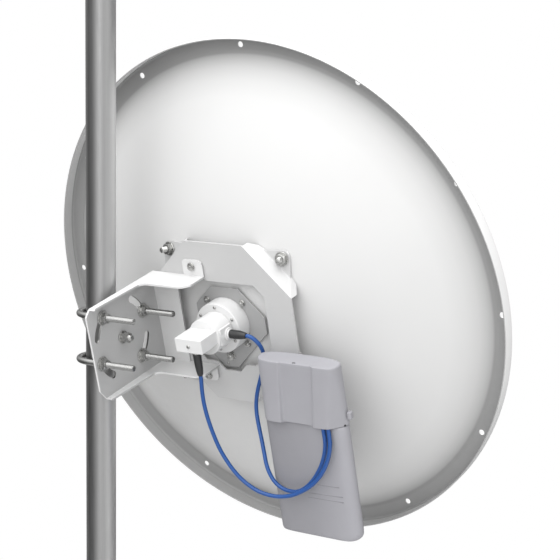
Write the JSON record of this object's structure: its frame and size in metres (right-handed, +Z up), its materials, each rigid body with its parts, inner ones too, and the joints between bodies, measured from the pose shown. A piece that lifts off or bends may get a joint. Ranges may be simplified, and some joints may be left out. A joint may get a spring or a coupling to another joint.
{
  "type": "microwave dish antenna",
  "caption": "Microwave dish antenna with an offset tilting clamp bracket, rear feed unit, side-mounted radio box and two coax leads, on a round steel pole.",
  "frame": {"origin": "centre of the foot plate's underside, on the pole's axis", "axes": "+Z up along the pole, +Y the way the dish looks, +X from the pole towards the dish's middle"},
  "size_m": [0.695, 0.371, 1.25],
  "materials": {
    "bottom_connector": "black",
    "bottom_lead": "blue jacket",
    "bracket": "white powder coat",
    "clamp_nut_ll": "zinc plated",
    "clamp_nut_lr": "zinc plated",
    "clamp_nut_ul": "zinc plated",
    "clamp_nut_ur": "zinc plated",
    "dish": "white powder coat",
    "feed_body": "white",
    "feed_bolt_a": "zinc plated",
    "feed_bolt_b": "zinc plated",
    "feed_bolt_c": "zinc plated",
    "feed_bolt_d": "zinc plated",
    "feed_drum": "white",
    "feed_plate": "pale grey powder coat",
    "feed_tube": "white",
    "foot_plate": "galvanised, satin",
    "pivot_bolt": "zinc plated",
    "pivot_nut": "zinc plated",
    "plate_bolt_bl": "zinc plated",
    "plate_bolt_br": "zinc plated",
    "plate_bolt_tl": "zinc plated",
    "plate_bolt_tr": "zinc plated",
    "pole": "galvanised, satin",
    "pole_saddle": "zinc plated",
    "radio_body": "cool grey, fine texture",
    "radio_cap": "cool grey, fine texture",
    "radio_knob": "cool grey, fine texture",
    "radio_mount": "grey powder coat",
    "raised_plate": "pale grey powder coat",
    "side_connector": "black",
    "side_lead": "blue jacket",
    "tab_screw_bottom": "zinc plated",
    "tab_screw_top": "zinc plated",
    "u_bolt_lower": "zinc plated",
    "u_bolt_upper": "zinc plated"
  },
  "bodies": {
    "mast": {"clamp_nut_ll": "clamp_nut_ll", "clamp_nut_lr": "clamp_nut_lr", "clamp_nut_ul": "clamp_nut_ul", "clamp_nut_ur": "clamp_nut_ur", "foot_plate": "foot_plate", "pivot_bolt": "pivot_bolt", "pivot_nut": "pivot_nut", "pole": "pole", "pole_saddle": "pole_saddle", "u_bolt_lower": "u_bolt_lower", "u_bolt_upper": "u_bolt_upper"},
    "dish_head": {"bottom_connector": "bottom_connector", "bottom_lead": "bottom_lead", "bracket": "bracket", "dish": "dish", "feed_body": "feed_body", "feed_bolt_a": "feed_bolt_a", "feed_bolt_b": "feed_bolt_b", "feed_bolt_c": "feed_bolt_c", "feed_bolt_d": "feed_bolt_d", "feed_drum": "feed_drum", "feed_plate": "feed_plate", "feed_tube": "feed_tube", "plate_bolt_bl": "plate_bolt_bl", "plate_bolt_br": "plate_bolt_br", "plate_bolt_tl": "plate_bolt_tl", "plate_bolt_tr": "plate_bolt_tr", "radio_body": "radio_body", "radio_cap": "radio_cap", "radio_knob": "radio_knob", "radio_mount": "radio_mount", "raised_plate": "raised_plate", "side_connector": "side_connector", "side_lead": "side_lead", "tab_screw_bottom": "tab_screw_bottom", "tab_screw_top": "tab_screw_top"}
  },
  "joints": [
    {"name": "elevation", "type": "hinge", "parent": "mast", "child": "dish_head", "pos_m": [0, 0, 0.5905], "axis": [1, 0, 0], "range_deg": [-32, 4.4]}
  ]
}
